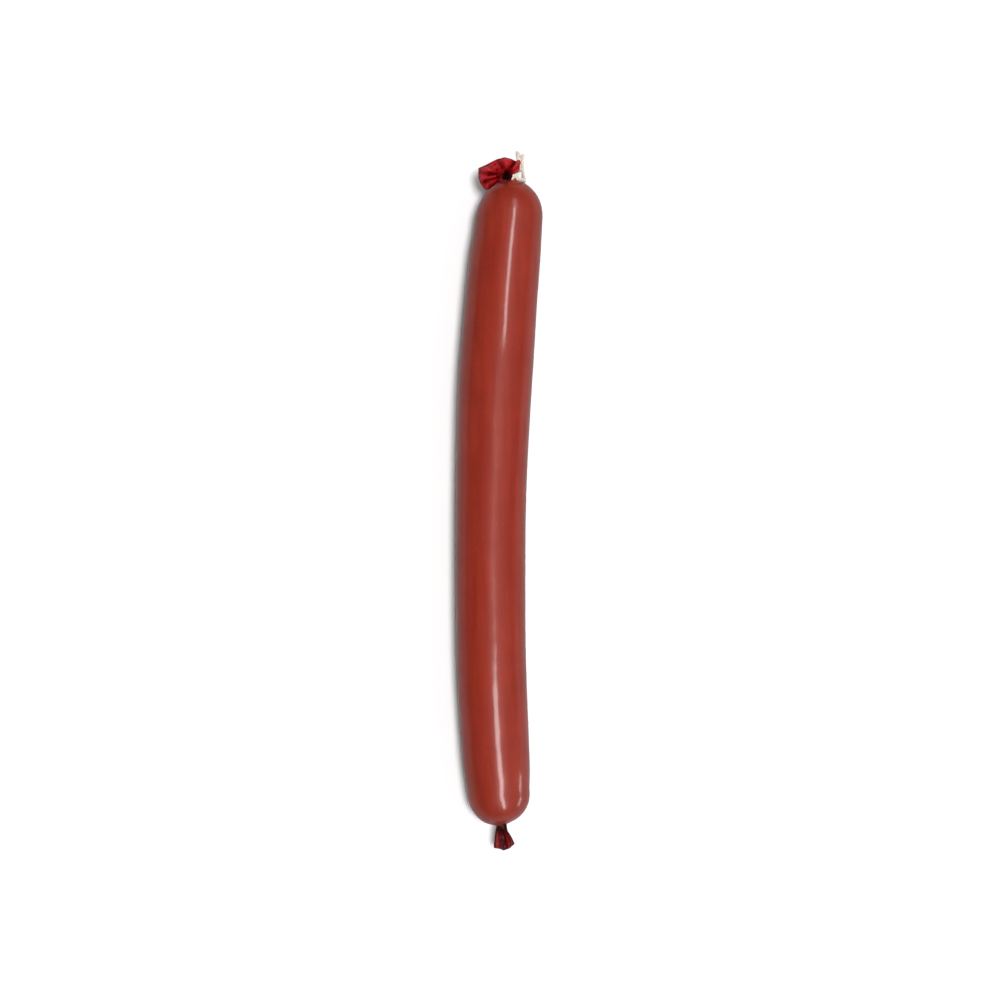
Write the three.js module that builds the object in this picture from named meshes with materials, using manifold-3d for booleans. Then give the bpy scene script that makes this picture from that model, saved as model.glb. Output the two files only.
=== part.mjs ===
// A cured sausage of 40 mm calibre, lying on its side on a flat surface.
//
// Millimetres, +Z up. The sausage runs along Y, with the string-tied end at +Y. The origin is on the
// surface that it rests on, under the middle of the sausage as measured without its loose string.
//
// The pieces: the casing filled with meat, with a neck at each end where it is tied; the ruffled end of
// empty casing beyond each neck; the string hitch round the upper neck with its two cut ends, which drop
// to the surface; and the fine thread bound round the lower neck. The upper neck sits high on its dome and
// points steeply up, so the pieces on it are made round a Y axis of their own and then tipped up onto it.
import * as THREE from "three";
import { mergeVertices } from "three/addons/utils/BufferGeometryUtils.js";
import Module from "manifold-3d";

const wasm = await Module();
wasm.setup();

// ---- Driving dimensions -----------------------------------------------------------------------------

const GAP = 0.3; // clearance between pieces that touch
const FLAT_DEPTH = 0.72; // how far the underside is pressed flat where it rests

// The filled casing, from its lower tip to its upper tip.
const LOWER_TIP = -185.6;
const UPPER_TIP = 183.2;
const LOWER_DOME = 18; // length over which the lower end rounds off
const UPPER_DOME = 23; // the upper end is a little longer
// Radius of the filled casing at stations along Y, before its ends round off.
const FULLNESS = [
  [LOWER_TIP, 17.7], [-167, 18], [-155, 18.9], [-147, 19.2], [-112, 19.7], [-32, 19.9], [13, 20.2],
  [59, 21], [85, 21.1], [105, 20.8], [139, 20.3], [156, 19.5], [UPPER_TIP, 19.3],
];
// Sideways place of its centre at stations along Y: one long shallow bow.
const BOW = [
  [LOWER_TIP, 1.9], [-181, 0.7], [-172, 0.4], [-161, -0.25], [-147, -1.1], [-112, -3], [-78, -3.95], [-32, -4.25],
  [13, -3.65], [59, -1.9], [105, 1.1], [139, 4], [160, 6.2], [173, 7], [UPPER_TIP, 6.3],
];
const UPPER_RISE = { from: 150, by: 1.5 }; // the upper end also bends up a little
const MIDDLE_SHIFT = 2.2; // moves the whole part along Y, so that its middle is over the origin

// The tied necks. The upper one starts on the dome and points up at an angle above level, in degrees.
const UPPER_NECK = { base: [5.1, 183.6, 27.2], elevation: 58, radius: 2.6, length: 6.2 };
const LOWER_NECK = { x: 1.9, radius: 2.3, end: -187.6 };

// The string hitch: two turns of twine round the upper neck, with its crossing on the +X side. Its middle
// is measured along the neck.
const STRING_DIAMETER = 1.7;
const HITCH = { along: 3.9, halfWidth: 2.2, crossingRise: 1.8, crossingReach: 3.4 };
// The two cut ends, as points from the crossing to the tip. Both drop to the surface and lie on it.
const STRING_ON_SURFACE = STRING_DIAMETER / 2 + 0.12;
const OVER_END = [
  [12, 184.7, 29], [13.5, 183.2, 26.6], [14.7, 182.1, 23.1], [15.2, 181.8, 19.2], [15.3, 182.6, 14.4],
  [15.2, 183.8, 9.6], [15, 185.4, 5.2], [14.7, 187.8, 2], [14.4, 190.8, STRING_ON_SURFACE],
  [14.2, 194, STRING_ON_SURFACE], [13.9, 197.6, STRING_ON_SURFACE],
];
const UNDER_END = [
  [11.3, 188, 27], [12.3, 188.6, 23.6], [12.7, 188.9, 19], [12.7, 188.9, 14], [12.5, 189.1, 9],
  [12.2, 190, 4.7], [11.9, 192, 1.9], [11.7, 194.6, STRING_ON_SURFACE], [11.5, 197.4, STRING_ON_SURFACE],
  [11.2, 200.3, STRING_ON_SURFACE],
];

// The thread bound round the lower neck.
const THREAD = { y: -186.75, diameter: 0.8, halfWidth: 0.7 };

// The upper casing end opens from the end of its neck into a frill. Its free edge is given by how far it
// reaches from the neck's axis and how far along the axis it lies from the neck's end, at angles round
// the neck in degrees: 0 is +X, 90 is back over the sausage, 180 is -X and 270 is out past the end.
const FRILL_EDGE = [
  [0, 6, 0.5], [45, 5.6, 0.4], [90, 5.4, 0.2], [120, 8, -1], [150, 13.4, -3.4], [180, 16.2, -3.2],
  [210, 14, -1.6], [250, 10.2, -1], [285, 10.4, -1.4], [315, 11, 0.4], [338, 9.4, 1.4], [360, 6, 0.5],
];
const FRILL_RISE = 2.4; // how high each line from the neck arches before it falls to the edge
const FRILL_WALL = 0.9;
const FRILL_PLEATS = 9;
const FRILL_PLEAT_DEPTH = 0.7;

// The lower casing end, folded flat like a closed umbrella.
const TUFT = { length: 11.4, across: 5.3, high: 3.4, lean: 1.7, slant: 1, pleats: 7, pleatDepth: 0.14 };

// ---- Curves -----------------------------------------------------------------------------------------

// A smooth curve through [station, value] pairs: cubic pieces whose slopes come from their neighbours.
function through(keys, at) {
  const last = keys.length - 1;
  const i = Math.min(Math.max(keys.findIndex(([s]) => s > at) - 1, 0), last - 1);
  const k = at >= keys[last][0] ? last - 1 : i;
  const slope = (n) => {
    const [a, b] = [keys[Math.max(n - 1, 0)], keys[Math.min(n + 1, last)]];
    return (b[1] - a[1]) / (b[0] - a[0]);
  };
  const [[s0, v0], [s1, v1]] = [keys[k], keys[k + 1]];
  const span = s1 - s0;
  const t = THREE.MathUtils.clamp((at - s0) / span, 0, 1);
  const [t2, t3] = [t * t, t * t * t];
  return (
    (2 * t3 - 3 * t2 + 1) * v0 +
    (t3 - 2 * t2 + t) * span * slope(k) +
    (3 * t2 - 2 * t3) * v1 +
    (t3 - t2) * span * slope(k + 1)
  );
}

// The part of the full radius that is left at a distance from a tip, as an ellipse rounds off.
function rounding(distance, dome) {
  const t = THREE.MathUtils.clamp(1 - distance / dome, 0, 1);
  return Math.sqrt(1 - t * t);
}

// Height of the filled casing's centre: its underside is pressed flat on the surface.
function axisHeight(y) {
  const station = THREE.MathUtils.clamp(y, LOWER_TIP, UPPER_TIP);
  const rise = UPPER_RISE.by * THREE.MathUtils.smoothstep(station, UPPER_RISE.from, UPPER_TIP);
  return through(FULLNESS, station) - FLAT_DEPTH + rise;
}

const LOWER_AXIS = new THREE.Vector3(LOWER_NECK.x, THREAD.y, axisHeight(LOWER_TIP));
// Carries what is made round the Y axis, with y = 0 at the neck's base, onto the upper neck.
const ONTO_UPPER_NECK = new THREE.Matrix4()
  .makeTranslation(...UPPER_NECK.base)
  .multiply(new THREE.Matrix4().makeRotationX(THREE.MathUtils.degToRad(UPPER_NECK.elevation)));

// ---- Geometry helpers -------------------------------------------------------------------------------

// Skins a list of closed rings of equal length, and closes it at a centre point before the first ring and
// after the last one.
function loft(first, rings, last) {
  const count = rings[0].length;
  const points = [first, ...rings.flat(), last];
  const faces = [];
  for (let k = 0; k < count; k++) {
    const n = (k + 1) % count;
    faces.push(0, 1 + k, 1 + n);
    for (let r = 0; r + 1 < rings.length; r++) {
      const [a, b] = [1 + r * count, 1 + (r + 1) * count];
      faces.push(a + k, b + n, a + n, a + k, b + k, b + n);
    }
    const end = 1 + (rings.length - 1) * count;
    faces.push(points.length - 1, end + n, end + k);
  }
  const geometry = new THREE.BufferGeometry();
  geometry.setAttribute("position", new THREE.Float32BufferAttribute(points.flat(), 3));
  geometry.setIndex(faces);
  return geometry;
}

function toSolid(geometry) {
  geometry.deleteAttribute("normal");
  geometry.deleteAttribute("uv");
  const merged = mergeVertices(geometry, 1e-3);
  const positions = merged.getAttribute("position").array;
  const mesh = new wasm.Mesh({
    numProp: 3,
    vertProperties: new Float32Array(positions),
    triVerts: new Uint32Array(merged.index.array),
  });
  return new wasm.Manifold(mesh);
}

function toGeometry(solid) {
  const { vertProperties, triVerts } = solid.getMesh();
  const geometry = new THREE.BufferGeometry();
  geometry.setAttribute("position", new THREE.Float32BufferAttribute(vertProperties, 3));
  geometry.setIndex(Array.from(triVerts));
  return geometry;
}

// Rings of points by angle round an axis along Y, from +X towards +Z.
function ring(count, pointAt) {
  return Array.from({ length: count }, (_, k) => pointAt((360 * k) / count));
}

// A rod round the Y axis.
function rod(radius, from, to) {
  const end = (y) =>
    ring(24, (angle) => {
      const turn = THREE.MathUtils.degToRad(angle);
      return [radius * Math.cos(turn), y, radius * Math.sin(turn)];
    });
  return loft([0, from, 0], [end(from), end(to)], [0, to, 0]);
}

function finished(name, geometry, material) {
  geometry.computeVertexNormals();
  const mesh = new THREE.Mesh(geometry, material);
  mesh.name = name;
  return mesh;
}

// ---- Materials --------------------------------------------------------------------------------------

const casingSkin = new THREE.MeshStandardMaterial({ color: 0x9a3a2a, roughness: 0.35, metalness: 0 });
const emptyCasing = new THREE.MeshStandardMaterial({ color: 0x8c1214, roughness: 0.3, metalness: 0 });
const twine = new THREE.MeshStandardMaterial({ color: 0xe4d6c6, roughness: 0.9, metalness: 0 });
const stainedThread = new THREE.MeshStandardMaterial({ color: 0x4a1512, roughness: 0.8, metalness: 0 });

// ---- The filled casing ------------------------------------------------------------------------------

// Its outline is spun round the Y axis, then bowed sideways, lifted to its resting height, and pressed
// flat along its underside. The upper neck is joined on.
function filledCasing() {
  const sides = 36;
  const domeSteps = 9;
  const middleSteps = 24;
  const stations = [];
  for (let i = 1; i <= domeSteps; i++) {
    stations.push(LOWER_TIP + LOWER_DOME * (1 - Math.cos((i / domeSteps) * (Math.PI / 2))));
  }
  const [low, high] = [LOWER_TIP + LOWER_DOME, UPPER_TIP - UPPER_DOME];
  for (let i = 1; i < middleSteps; i++) {
    stations.push(low + ((high - low) * i) / middleSteps);
  }
  for (let i = domeSteps; i >= 1; i--) {
    stations.push(UPPER_TIP - UPPER_DOME * (1 - Math.cos((i / domeSteps) * (Math.PI / 2))));
  }
  const radius = (y) =>
    through(FULLNESS, y) * rounding(y - LOWER_TIP, LOWER_DOME) * rounding(UPPER_TIP - y, UPPER_DOME);
  const outline = [
    new THREE.Vector2(0, LOWER_NECK.end),
    new THREE.Vector2(LOWER_NECK.radius, LOWER_NECK.end),
    new THREE.Vector2(LOWER_NECK.radius, LOWER_TIP - 0.6),
    new THREE.Vector2(LOWER_NECK.radius + 0.6, LOWER_TIP + 0.05),
    ...stations.map((y) => new THREE.Vector2(radius(y), y)),
    new THREE.Vector2(0, UPPER_TIP),
  ];
  const geometry = new THREE.LatheGeometry(outline, sides, Math.PI / sides);
  const position = geometry.getAttribute("position");
  for (let i = 0; i < position.count; i++) {
    const y = position.getY(i);
    const bow = through(BOW, THREE.MathUtils.clamp(y, LOWER_TIP, UPPER_TIP));
    position.setX(i, position.getX(i) + bow);
    position.setZ(i, Math.max(position.getZ(i) + axisHeight(y), 0));
  }
  const neck = rod(UPPER_NECK.radius, -2 * UPPER_NECK.radius, UPPER_NECK.length);
  const solid = toSolid(geometry).add(toSolid(neck.applyMatrix4(ONTO_UPPER_NECK)));
  return finished("filled_casing", toGeometry(solid), casingSkin);
}

// ---- The upper casing end ---------------------------------------------------------------------------

// Empty casing gathered at the end of the neck, opening into a ruffled frill. Each line from the neck to
// the free edge arches up and then falls, and the lines of one side fall onto the sausage's shoulder.
function upperFrill() {
  const sides = FRILL_PLEATS * 4;
  const steps = 6;
  const root = UPPER_NECK.length + GAP;
  const [reachKeys, alongKeys] = [1, 2].map((column) => FRILL_EDGE.map((row) => [row[0], row[column]]));
  const pointAt = (angle, t, inner) => {
    const pleat = Math.sin(THREE.MathUtils.degToRad(angle * FRILL_PLEATS)) * t * t * (3 - 2 * t);
    const lift = inner ? FRILL_WALL : 0;
    const arch = 4 * FRILL_RISE * t * (1 - t);
    const reach = THREE.MathUtils.lerp(UPPER_NECK.radius - lift, through(reachKeys, angle), t);
    const along = root + lift + through(alongKeys, angle) * t + arch + FRILL_PLEAT_DEPTH * pleat;
    const turn = THREE.MathUtils.degToRad(angle);
    return [reach * Math.cos(turn), along, reach * Math.sin(turn)];
  };
  const rings = [];
  for (let i = 0; i <= steps; i++) rings.push(ring(sides, (angle) => pointAt(angle, i / steps, false)));
  for (let i = steps; i >= 0; i--) rings.push(ring(sides, (angle) => pointAt(angle, i / steps, true)));
  const frill = loft([0, root, 0], rings, [0, root + FRILL_WALL, 0]);
  return finished("upper_casing_frill", frill.applyMatrix4(ONTO_UPPER_NECK), emptyCasing);
}

// ---- The lower casing end ---------------------------------------------------------------------------

// Empty casing folded into pleats that spread a little, with a slanting cut.
function lowerTuft() {
  const sides = TUFT.pleats * 4;
  const steps = 5;
  const rings = [];
  const root = LOWER_NECK.end - GAP;
  for (let i = steps; i >= 0; i--) {
    const t = i / steps;
    const spread = Math.sin((t * Math.PI) / 2);
    rings.push(
      ring(sides, (angle) => {
        const turn = THREE.MathUtils.degToRad(angle);
        const pleat = 1 + TUFT.pleatDepth * t * Math.sin(turn * TUFT.pleats);
        const across = THREE.MathUtils.lerp(LOWER_NECK.radius, TUFT.across, spread) * pleat;
        const high = THREE.MathUtils.lerp(LOWER_NECK.radius, TUFT.high, spread) * pleat;
        const length = TUFT.length - TUFT.slant * Math.cos(turn);
        return [
          LOWER_AXIS.x + TUFT.lean * t + across * Math.cos(turn),
          root - length * t,
          LOWER_AXIS.z + high * Math.sin(turn),
        ];
      }),
    );
  }
  const tip = [LOWER_AXIS.x + TUFT.lean, root - TUFT.length, LOWER_AXIS.z];
  return finished("lower_casing_tuft", loft(tip, rings, [LOWER_AXIS.x, root, LOWER_AXIS.z]), emptyCasing);
}

// ---- The string -------------------------------------------------------------------------------------

// The outer shape of turns of string round a neck on the Y axis: a ring with rounded edges.
function turnsRing(neckRadius, thickness, halfWidth, middle) {
  const inside = neckRadius + GAP;
  const outside = neckRadius + thickness;
  const corner = (thickness - GAP) / 2;
  const section = [
    [inside, halfWidth],
    [inside, -halfWidth],
  ];
  for (const end of [-1, 1]) {
    for (let i = 0; i <= 3; i++) {
      const a = THREE.MathUtils.degToRad(30 * i + (end < 0 ? -90 : 0));
      section.push([outside - corner + corner * Math.cos(a), end * (halfWidth - corner) + corner * Math.sin(a)]);
    }
  }
  const count = 24;
  const points = [];
  const faces = [];
  for (let k = 0; k < count; k++) {
    const turn = (2 * Math.PI * k) / count;
    const [a, b] = [k * section.length, ((k + 1) % count) * section.length];
    section.forEach(([reach, along], j) => {
      const m = (j + 1) % section.length;
      points.push(reach * Math.cos(turn), middle + along, reach * Math.sin(turn));
      faces.push(a + j, a + m, b + m, a + j, b + m, b + j);
    });
  }
  const geometry = new THREE.BufferGeometry();
  geometry.setAttribute("position", new THREE.Float32BufferAttribute(points, 3));
  geometry.setIndex(faces);
  return geometry;
}

// The two turns, joined with the rounded lump where the string crosses over its own ends.
function stringHitch() {
  const turns = turnsRing(UPPER_NECK.radius, STRING_DIAMETER, HITCH.halfWidth, HITCH.along);
  const rows = 6;
  const around = 12;
  const middle = UPPER_NECK.radius + STRING_DIAMETER;
  const lump = (latitude, longitude) => [
    middle + HITCH.crossingRise * Math.cos(latitude) * Math.cos(longitude),
    HITCH.along + HITCH.halfWidth * Math.sin(latitude),
    HITCH.crossingReach * Math.cos(latitude) * Math.sin(longitude),
  ];
  const rings = [];
  for (let i = 1; i < rows; i++) {
    const latitude = -Math.PI / 2 + (Math.PI * i) / rows;
    rings.push(ring(around, (angle) => lump(latitude, THREE.MathUtils.degToRad(angle))));
  }
  const crossing = loft(lump(-Math.PI / 2, 0), rings, lump(Math.PI / 2, 0));
  const clearance = rod(UPPER_NECK.radius + GAP, 0, 2 * HITCH.along);
  const solid = toSolid(turns).add(toSolid(crossing)).subtract(toSolid(clearance));
  return finished("neck_string_hitch", toGeometry(solid).applyMatrix4(ONTO_UPPER_NECK), twine);
}

// One cut end of the string: an eight-sided section swept along its points.
function stringEnd(name, points) {
  const sides = 8;
  const section = new THREE.Shape();
  for (let k = 0; k < sides; k++) {
    const a = (2 * Math.PI * k) / sides;
    const [x, y] = [(STRING_DIAMETER / 2) * Math.cos(a), (STRING_DIAMETER / 2) * Math.sin(a)];
    if (k) section.lineTo(x, y);
    else section.moveTo(x, y);
  }
  const route = new THREE.CatmullRomCurve3(points.map((p) => new THREE.Vector3(...p)));
  const steps = Math.ceil(route.getLength() / (1.2 * STRING_DIAMETER));
  const geometry = new THREE.ExtrudeGeometry(section, { steps, extrudePath: route, bevelEnabled: false });
  return finished(name, geometry, twine);
}

function lowerThread() {
  const geometry = turnsRing(LOWER_NECK.radius, THREAD.diameter, THREAD.halfWidth, LOWER_AXIS.y);
  return finished("lower_neck_thread", geometry.translate(LOWER_AXIS.x, 0, LOWER_AXIS.z), stainedThread);
}

// ---- The whole sausage ------------------------------------------------------------------------------

const sausage = new THREE.Group();
sausage.add(filledCasing(), upperFrill(), lowerTuft(), stringHitch(), lowerThread());
sausage.add(stringEnd("neck_string_over_end", OVER_END), stringEnd("neck_string_under_end", UNDER_END));
sausage.position.y = MIDDLE_SHIFT;

export default sausage;
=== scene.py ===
# %% [markdown]
# # A cured sausage tied with twine
#
# This lesson dresses a finished construction model: a slim cured sausage of 40 mm calibre that lies on its
# side. The construction model holds the pieces at their real size. Blender adds what the eye expects: a
# tight, satin casing, crumpled ends of dry casing film, and a hitch of twisted cotton twine.
#
# Formulas are in millimetres, turned to metres only when a mesh is made. Every piece is a surface worked
# out with numpy on a grid.

import math

import bpy
import numpy as np
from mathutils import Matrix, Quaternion, Vector


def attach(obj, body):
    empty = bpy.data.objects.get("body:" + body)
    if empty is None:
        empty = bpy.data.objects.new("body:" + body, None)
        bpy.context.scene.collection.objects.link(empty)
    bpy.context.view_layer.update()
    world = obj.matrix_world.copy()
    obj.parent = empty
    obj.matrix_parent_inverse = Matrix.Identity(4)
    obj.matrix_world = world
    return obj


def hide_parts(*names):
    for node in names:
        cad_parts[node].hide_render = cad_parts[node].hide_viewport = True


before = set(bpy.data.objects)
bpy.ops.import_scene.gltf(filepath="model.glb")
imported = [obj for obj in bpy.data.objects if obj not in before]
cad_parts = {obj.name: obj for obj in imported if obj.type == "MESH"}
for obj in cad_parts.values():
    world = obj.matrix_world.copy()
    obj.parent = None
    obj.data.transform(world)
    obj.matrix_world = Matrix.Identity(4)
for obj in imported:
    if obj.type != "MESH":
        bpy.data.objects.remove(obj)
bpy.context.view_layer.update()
MM = 0.001
print("nodes:", sorted(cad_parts))

# %% [markdown]
# ## Driving dimensions
#
# These sizes shape the sausage, in the construction model's millimetres. A smooth surface needs the curves
# behind that model's triangles, so a few stations are written here: how full the casing is, and how far its
# centre bows to the side, along Y. Along the body they are the construction model's own. At both ends the
# stations, the upper dome's length and the hitch's place are fitted closer to the real sausage, by up to
# 3 mm.

# %% Sizes of the casing, its necks and its string
MIDDLE_SHIFT = 2.2  # the whole sausage is moved this far along Y, to sit over the origin
LOWER_TIP, UPPER_TIP = -185.6, 183.2
LOWER_DOME, UPPER_DOME = 18.0, 23.6
FLAT_DEPTH = 0.72  # how far the underside is pressed in by the surface it lies on
FULLNESS = np.array([
    (LOWER_TIP, 17.7), (-167, 18), (-155, 18.9), (-147, 19.2), (-112, 19.7), (-32, 19.9), (13, 20.2),
    (59, 21), (85, 21.1), (105, 20.8), (139, 20.3), (156, 19.4), (UPPER_TIP, 18.9),
])
BOW = np.array([
    (LOWER_TIP, -1.0), (-181, 0.1), (-172, 0.4), (-161, -0.25), (-147, -1.1), (-112, -3), (-78, -3.95),
    (-32, -4.25), (13, -3.65), (59, -1.9), (105, 1.1), (139, 4), (160, 6.2), (173, 7), (UPPER_TIP, 6.3),
])
UPPER_RISE_FROM, UPPER_RISE = 150.0, 1.5
UPPER_NECK_BASE = np.array([5.1, 183.6, 27.2])
UPPER_NECK_ELEVATION = math.radians(58)
UPPER_NECK_RADIUS, UPPER_NECK_LENGTH = 2.6, 6.2
LOWER_NECK_X, LOWER_NECK_RADIUS, LOWER_NECK_END = 1.9, 2.3, -187.6
HITCH_ALONG = 3.1  # middle of the hitch, measured up the neck from its base
STRING_DIAMETER = 1.7
THREAD_Y, THREAD_DIAMETER = -186.75, 0.6
print("casing length:", UPPER_TIP - LOWER_TIP, "mm")

# %% [markdown]
# ## The camera
#
# The sausage is seen from straight above through a long lens, with its tied end at the top of the picture.
# A long lens keeps the sides of the round body from spreading.

# %% Camera
CAMERA_DISTANCE = 1600.0  # from the sausage's outline, which lies about half its thickness up
OUTLINE_HEIGHT = 20.0
CAMERA_X = 1.14
PICTURE_WIDTH = 570.0
SENSOR_WIDTH = 36.0


def in_scene(name, data):
    """A new object that shows the data, linked to the scene."""
    made = bpy.data.objects.new(name, data)
    bpy.context.scene.collection.objects.link(made)
    return made


camera_data = bpy.data.cameras.new("camera")
camera_data.sensor_width = SENSOR_WIDTH
camera_data.lens = SENSOR_WIDTH * CAMERA_DISTANCE / PICTURE_WIDTH
camera = in_scene("camera", camera_data)
camera.location = np.array([CAMERA_X, MIDDLE_SHIFT, OUTLINE_HEIGHT + CAMERA_DISTANCE]) * MM
bpy.context.scene.camera = camera
print("lens:", round(camera_data.lens, 1), "mm")

# %% [markdown]
# ## Tools for surfaces
#
# A surface is a grid of points: rows run along the piece and columns round it. One function turns a grid
# into a closed mesh. It joins the last column to the first, closes each end at a pole, and uses the sign of
# the enclosed volume to make the faces point outwards.

# %% From a grid of points to a closed mesh
def skin(name, grid, start=None, end=None, closed=True):
    """Joins neighbours of a (rows, columns, 3) grid in mm with quads; start and end are pole points."""
    rows, columns, _ = grid.shape
    points = [grid.reshape(-1, 3)]
    index = np.arange(rows * columns).reshape(rows, columns)
    beside = np.roll(index, -1, axis=1)
    quads = np.stack([index[:-1], beside[:-1], beside[1:], index[1:]], axis=-1).reshape(-1, 4)
    fans = []
    for pole, row, turned in ((start, 0, True), (end, rows - 1, False)):
        if pole is None:
            continue
        points.append(np.asarray(pole, float).reshape(1, 3))
        tip = np.full(columns, sum(len(p) for p in points) - 1)
        pair = (beside[row], index[row]) if turned else (index[row], beside[row])
        fans.append(np.stack([tip, *pair], axis=-1))
    points = np.concatenate(points)
    if closed:
        corners = np.concatenate([quads[:, :3], quads[:, [0, 2, 3]], *fans])
        a, b, c = (points[corners[:, i]] for i in range(3))
        if np.einsum("ij,ij->i", a, np.cross(b, c)).sum() < 0:
            quads = quads[:, ::-1]
            fans = [fan[:, ::-1] for fan in fans]
    mesh = bpy.data.meshes.new(name)
    faces = quads.tolist() + [face for fan in fans for face in fan.tolist()]
    mesh.from_pydata((points * MM).tolist(), [], faces)
    mesh.shade_smooth()
    return in_scene(name, mesh)


def store(piece, name, values):
    """Writes one number for each point of a mesh, for its material to read; poles get the last number."""
    padded = np.full(len(piece.data.vertices), values.ravel()[-1], np.float32)
    padded[:values.size] = values.ravel()
    piece.data.attributes.new(name, "FLOAT", "POINT").data.foreach_set("value", padded)


print("mesh tools ready")

# %% [markdown]
# ## Tools for curves and waves
#
# A curve through a few stations gives the large form. Sums of waves in random directions give the small
# unevenness; the random numbers have a fixed seed, so the sausage comes out the same each time.

# %% Smooth curves, ramps and random waves
def cubic(t, first, first_run, last, last_run):
    """Cubic Hermite piece from first, leaving it along first_run, to last, reached along last_run."""
    return (
        (2 * t**3 - 3 * t**2 + 1) * first + (t**3 - 2 * t**2 + t) * first_run
        + (3 * t**2 - 2 * t**3) * last + (t**3 - t**2) * last_run
    )


def through(keys, at):
    """A smooth curve through (station, value) rows: cubic pieces, sloped as their two neighbours are."""
    stations, values = keys[:, 0], keys[:, 1]
    ends = np.arange(len(keys))
    before, after = np.maximum(ends - 1, 0), np.minimum(ends + 1, len(keys) - 1)
    slopes = (values[after] - values[before]) / (stations[after] - stations[before])
    at = np.clip(at, stations[0], stations[-1])
    k = np.clip(np.searchsorted(stations, at, side="right") - 1, 0, len(keys) - 2)
    span = stations[k + 1] - stations[k]
    t = (at - stations[k]) / span
    return cubic(t, values[k], span * slopes[k], values[k + 1], span * slopes[k + 1])


def ramp(low, high, x):
    """Goes smoothly from 0 at low to 1 at high, level at both ends."""
    t = np.clip((x - low) / (high - low), 0, 1)
    return t * t * (3 - 2 * t)


def waves(points, size, seed, count=24):
    """Sum of sine waves about size mm long in random directions, scaled to a typical height of 1."""
    random = np.random.default_rng(seed)
    directions = random.normal(size=(3, count))
    directions /= np.linalg.norm(directions, axis=0)
    lengths = size * random.uniform(0.7, 1.6, count)
    phases = random.uniform(0, 2 * np.pi, count)
    total = np.sin(points @ (directions * 2 * np.pi / lengths) + phases).sum(axis=-1)
    return total / math.sqrt(count / 2)


def normals_of(grid):
    """The direction across a surface at each grid point: its row direction crossed with its column one."""
    down = np.gradient(grid, axis=0)
    wrapped = np.concatenate([grid[:, -1:], grid, grid[:, :1]], axis=1)
    across = (wrapped[:, 2:] - wrapped[:, :-2]) / 2
    normal = np.cross(down, across)
    return normal / np.maximum(np.linalg.norm(normal, axis=-1, keepdims=True), 1e-9)


print("curve tools ready")

# %% [markdown]
# ## Tools for materials
#
# Each material is named for the real finish. Its colours are given as sRGB hex and turned to the linear
# light that the shader mixes. Small functions add the nodes that repeat and link them, so that a material
# reads as a list of what it is made of.

# %% Colours and nodes
def srgb(hex_colour):
    """An sRGB hex colour as linear red, green, blue and alpha."""
    channels = [int(hex_colour[i:i + 2], 16) / 255 for i in (1, 3, 5)]
    return tuple(c / 12.92 if c <= 0.04045 else ((c + 0.055) / 1.055) ** 2.4 for c in channels) + (1.0,)


def add_node(tree, kind, inputs=None, **settings):
    """Adds a node, sets its properties, and gives each input a value or another node's output."""
    made = tree.nodes.new(kind)
    for name, value in settings.items():
        setattr(made, name, value)
    for socket, value in (inputs or {}).items():
        if isinstance(value, bpy.types.NodeSocket):
            tree.links.new(value, made.inputs[socket])
        else:
            made.inputs[socket].default_value = value
    return made


def new_material(name):
    """An empty node material, its tree, and each point's place on the object in metres."""
    material = bpy.data.materials.new(name)
    material.use_nodes = True
    tree = material.node_tree
    tree.nodes.clear()
    return material, tree, add_node(tree, "ShaderNodeTexCoord").outputs["Object"]


# Input and output numbers of the colour form of the Mix node.
MIX_FACTOR, MIX_A, MIX_B, MIX_RESULT = 0, 6, 7, 2


def mixed(tree, factor, first, second):
    """Goes from the first colour to the second as factor goes from 0 to 1; each is a hex or an output."""
    first, second = (srgb(colour) if isinstance(colour, str) else colour for colour in (first, second))
    sockets = {MIX_FACTOR: factor, MIX_A: first, MIX_B: second}
    return add_node(tree, "ShaderNodeMix", sockets, data_type="RGBA").outputs[MIX_RESULT]


def mapped(tree, value, low, high, to_low=0.0, to_high=1.0):
    """Turns low to high into to_low to to_high in a straight line, and holds the ends."""
    limits = {"From Min": low, "From Max": high, "To Min": to_low, "To Max": to_high}
    return add_node(tree, "ShaderNodeMapRange", {"Value": value, **limits}).outputs[0]


def noise(tree, space, scale, detail):
    """Cloudy noise from 0 to 1, with about scale clouds in each metre."""
    return add_node(tree, "ShaderNodeTexNoise", {
        "Vector": space, "Scale": scale, "Detail": detail}).outputs["Fac"]


def product(tree, first, second):
    """The first number times the second."""
    return add_node(tree, "ShaderNodeMath", {0: first, 1: second}, operation="MULTIPLY").outputs[0]


def stored(tree, name):
    """The number that store() wrote on the mesh under this name."""
    return add_node(tree, "ShaderNodeAttribute", attribute_name=name).outputs["Fac"]


def finished(tree, inputs):
    """Ends a material with the Principled shader and its inputs."""
    shader = add_node(tree, "ShaderNodeBsdfPrincipled", inputs)
    add_node(tree, "ShaderNodeOutputMaterial", {"Surface": shader.outputs[0]})


print("a casing red in linear light:", [round(c, 3) for c in srgb("#9a3a2a")])

# %% [markdown]
# ## The filled casing
#
# A cured sausage in a collagen casing is a soft tube packed hard: nearly round, evenly thick, with domed
# ends drawn into tied necks. We sweep rings along the bowed centre line rather than sculpt a mesh, because
# each ring then knows its place and the skin can carry marks by place.
#
# The lower dome closes round the axis. The upper one closes round a neck that sits high on it, so its rings
# are circles on a unit sphere whose pole slides from the axis to the neck as the circles shrink. A casing
# that lies on a board is pressed flat along its underside.

# %% Where the skin lies
def fullness(y):
    """Radius of the filled casing before its ends round off."""
    return through(FULLNESS, y)


def axis_height(y):
    """Height of the casing's centre: its radius less the flat, and a small rise towards the upper end."""
    return fullness(y) - FLAT_DEPTH + UPPER_RISE * ramp(UPPER_RISE_FROM, UPPER_TIP, y)


LOWER_NECK_HEIGHT = float(axis_height(LOWER_TIP))


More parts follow.
